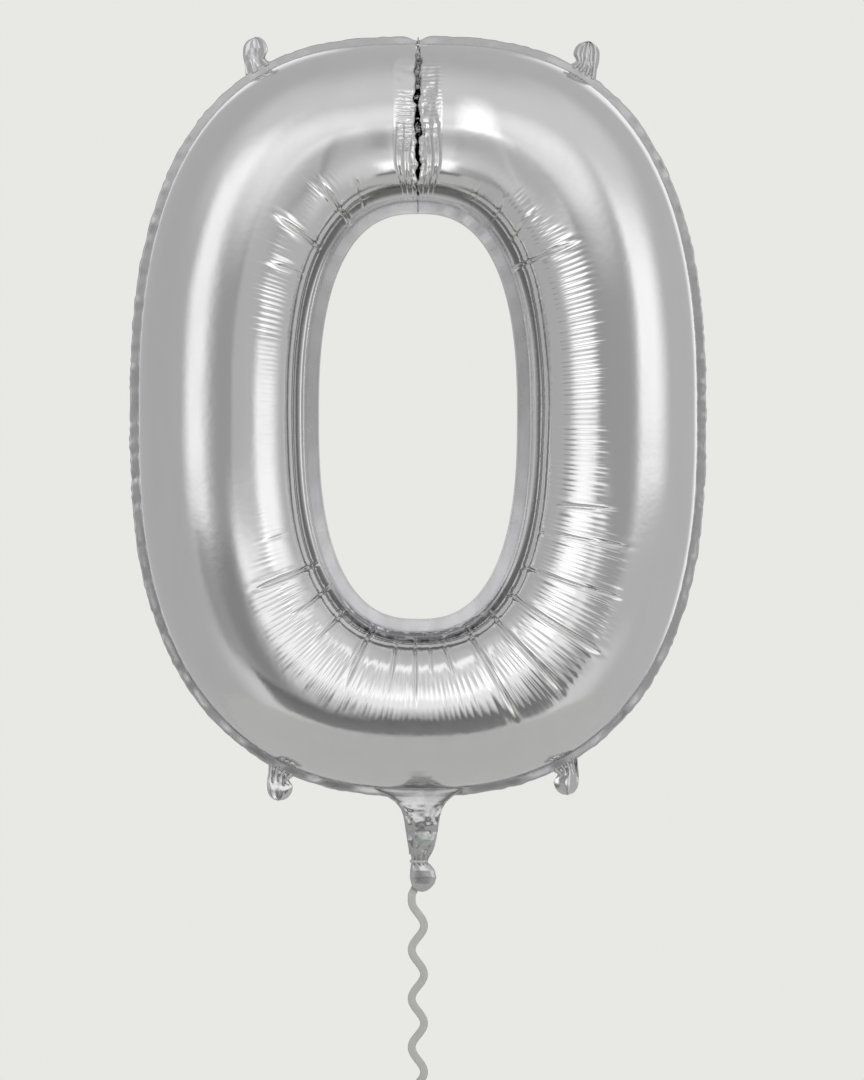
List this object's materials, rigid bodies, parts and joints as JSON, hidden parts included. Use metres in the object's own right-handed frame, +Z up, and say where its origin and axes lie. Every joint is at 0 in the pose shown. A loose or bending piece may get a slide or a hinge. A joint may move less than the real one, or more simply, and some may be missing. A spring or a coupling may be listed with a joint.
{
  "type": "foil number balloon",
  "caption": "Inflated foil numeral nought with sealed borders, hanging tabs, a valved inflation tail and a curled ribbon tied to the tail.",
  "frame": {"origin": "middle of the numeral's hole, in the plane where the two films are sealed together, where the gas lifts the balloon", "axes": "+Z up, +X to the right of a person facing the numeral's front, -Y out of the front"},
  "size_m": [0.652, 0.1786, 1.2296],
  "materials": {
    "foil": "gloss",
    "sealed_foil": "satin",
    "valve_film": "satin",
    "ribbon": "satin"
  },
  "bodies": {
    "balloon": {"front_foil_panel": "foil", "rear_foil_panel": "foil", "outer_sealed_border": "sealed_foil", "hole_sealed_border": "sealed_foil", "top_cross_seal": "sealed_foil", "valve_front_film": "valve_film", "valve_rear_film": "valve_film"},
    "upper_left_tab": {"upper_left_tab": "foil"},
    "upper_right_tab": {"upper_right_tab": "foil"},
    "lower_left_tab": {"lower_left_tab": "foil"},
    "lower_right_tab": {"lower_right_tab": "foil"},
    "tail": {"tail_front_film": "foil", "tail_rear_film": "foil", "valve_inlet_front_film": "valve_film", "valve_inlet_rear_film": "valve_film", "tail_gathered_waist": "foil", "ribbon_tie": "ribbon"},
    "tail_mouth": {"tail_mouth": "foil"},
    "ribbon_knot": {"ribbon_knot": "ribbon", "ribbon_upper_run": "ribbon"},
    "ribbon": {"ribbon": "ribbon", "ribbon_end_knot": "ribbon", "ribbon_end_loop": "ribbon"}
  },
  "joints": [
    {"name": "upper_left_tab_fold", "type": "hinge", "parent": "balloon", "child": "upper_left_tab", "pos_m": [-0.18125, 0, 0.39511], "axis": [0.8704, 0, 0.4924], "range_deg": [-75, 75], "stiffness_Nm_per_rad": 0.0005},
    {"name": "upper_right_tab_fold", "type": "hinge", "parent": "balloon", "child": "upper_right_tab", "pos_m": [0.188, 0, 0.39105], "axis": [0.8526, 0, -0.5225], "range_deg": [-75, 75], "stiffness_Nm_per_rad": 0.0005},
    {"name": "lower_left_tab_fold", "type": "hinge", "parent": "balloon", "child": "lower_left_tab", "pos_m": [-0.15627, 0, -0.40062], "axis": [-0.8949, 0, 0.4462], "range_deg": [-75, 75], "stiffness_Nm_per_rad": 0.0005},
    {"name": "lower_right_tab_fold", "type": "hinge", "parent": "balloon", "child": "lower_right_tab", "pos_m": [0.16798, 0, -0.3945], "axis": [-0.8704, 0, -0.4924], "range_deg": [-75, 75], "stiffness_Nm_per_rad": 0.0005},
    {"name": "tail_fold", "type": "hinge", "parent": "balloon", "child": "tail", "pos_m": [0, 0, -0.432], "axis": [1, 0, 0], "range_deg": [-70, 70], "stiffness_Nm_per_rad": 0.0005},
    {"name": "mouth_fold", "type": "hinge", "parent": "tail", "child": "tail_mouth", "pos_m": [0.004, -0.0032, -0.50725], "axis": [1, 0, 0], "range_deg": [-75, 0], "stiffness_Nm_per_rad": 0.0005},
    {"name": "ribbon_side_swing", "type": "hinge", "parent": "tail", "child": "ribbon_knot", "pos_m": [0, 0.0086, -0.503], "axis": [0, 1, 0], "range_deg": [-50, 50]},
    {"name": "ribbon_front_swing", "type": "hinge", "parent": "ribbon_knot", "child": "ribbon", "pos_m": [0, 0, -0.5445], "axis": [1, 0, 0], "range_deg": [-60, 60]}
  ]
}
